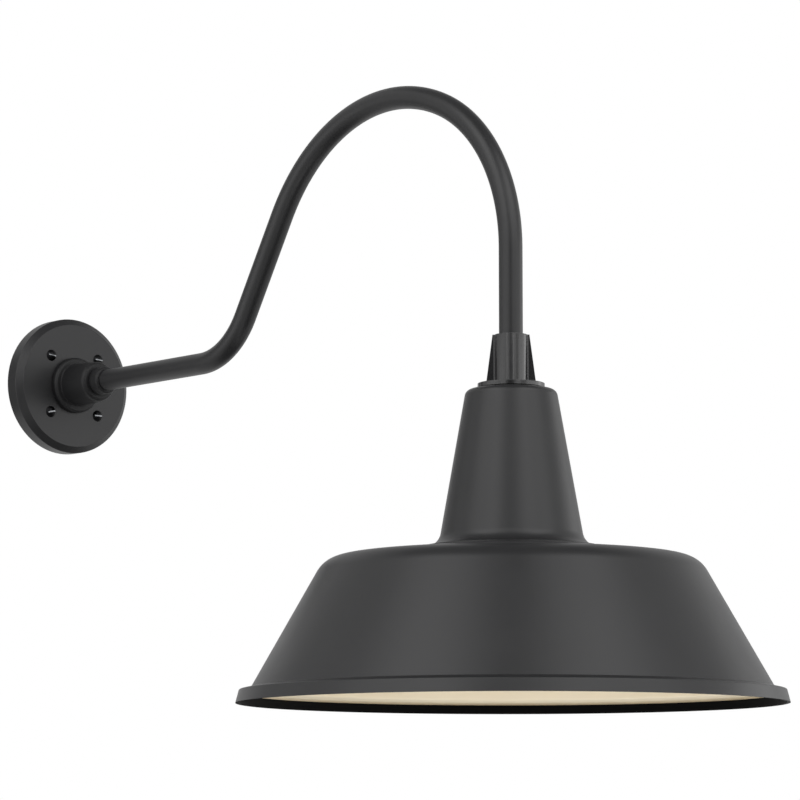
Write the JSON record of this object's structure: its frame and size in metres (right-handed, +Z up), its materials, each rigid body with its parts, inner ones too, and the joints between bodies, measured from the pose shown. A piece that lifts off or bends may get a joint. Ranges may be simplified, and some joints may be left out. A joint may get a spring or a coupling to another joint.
{
  "type": "gooseneck barn light",
  "caption": "Wall-mounted barn light: a bent gooseneck tube on a round backplate carries a wide spun shade with a tapered neck over a screw-in bulb.",
  "frame": {"origin": "middle of the backplate in the wall plane, on the axis of the hub and the arm's level run", "axes": "+Y into the wall, +Z up; the arm and shade stand out along -Y, in the plane X = 0"},
  "size_m": [0.4331, 0.8584, 0.515],
  "materials": {
    "black_coat": "satin black powder coat, cream white inside the shade",
    "black_steel": "black oxide",
    "zinc_steel": "zinc plated",
    "green_steel": "green dyed zinc",
    "gasket_rubber": "matte closed-cell foam rubber",
    "bushing_plastic": "natural nylon",
    "cable_jacket": "matte black jacket",
    "lead_black": "satin insulation",
    "lead_white": "satin insulation",
    "porcelain": "glazed porcelain",
    "brass": "plain brass",
    "cap_metal": "nickel-plated cap",
    "cap_glass": "black vitrite",
    "bulb_glass": "clear glass",
    "filament": "phosphor-coated filament stick"
  },
  "bodies": {
    "wall_mount": {"wall_gasket": "gasket_rubber", "backplate": "black_coat", "plate_screws": "black_steel", "ground_screw": "green_steel", "arm_hub": "black_coat", "hub_set_screw": "black_steel", "hub_washer": "zinc_steel", "hub_nut": "zinc_steel", "hub_bushing": "bushing_plastic"},
    "arm": {"arm_collar": "black_coat", "gooseneck_arm": "black_coat", "arm_cable": "cable_jacket"},
    "shade": {"fitter": "black_coat", "fitter_set_screw": "black_steel", "fitter_seal": "gasket_rubber", "nipple": "zinc_steel", "nipple_washer": "zinc_steel", "nipple_nut": "zinc_steel", "nipple_bushing": "bushing_plastic", "shade_neck": "black_coat", "shade_bowl": "black_coat", "socket_strap": "zinc_steel", "strap_screws": "zinc_steel", "socket_body": "porcelain", "socket_shell": "brass", "socket_contact": "brass", "socket_terminals": "brass", "terminal_screws": "brass", "live_lead": "lead_black", "neutral_lead": "lead_white"},
    "bulb": {"bulb_button": "brass", "bulb_insulator": "cap_glass", "bulb_cap": "cap_metal", "bulb_glass": "bulb_glass", "bulb_stem": "bulb_glass", "bulb_filaments": "filament"}
  },
  "joints": [
    {"name": "arm_turn", "type": "hinge", "parent": "wall_mount", "child": "arm", "pos_m": [0, 0, 0], "axis": [0, -1, 0], "range_deg": [-20, 20]},
    {"name": "shade_swivel", "type": "hinge", "parent": "arm", "child": "shade", "pos_m": [0, -0.61982, -0.04], "axis": [0, 0, 1], "range_deg": [-170, 170]},
    {"name": "bulb_out", "type": "slide", "parent": "shade", "child": "bulb", "axis": [0, 0, -1], "range_m": [0, 0.216]}
  ]
}
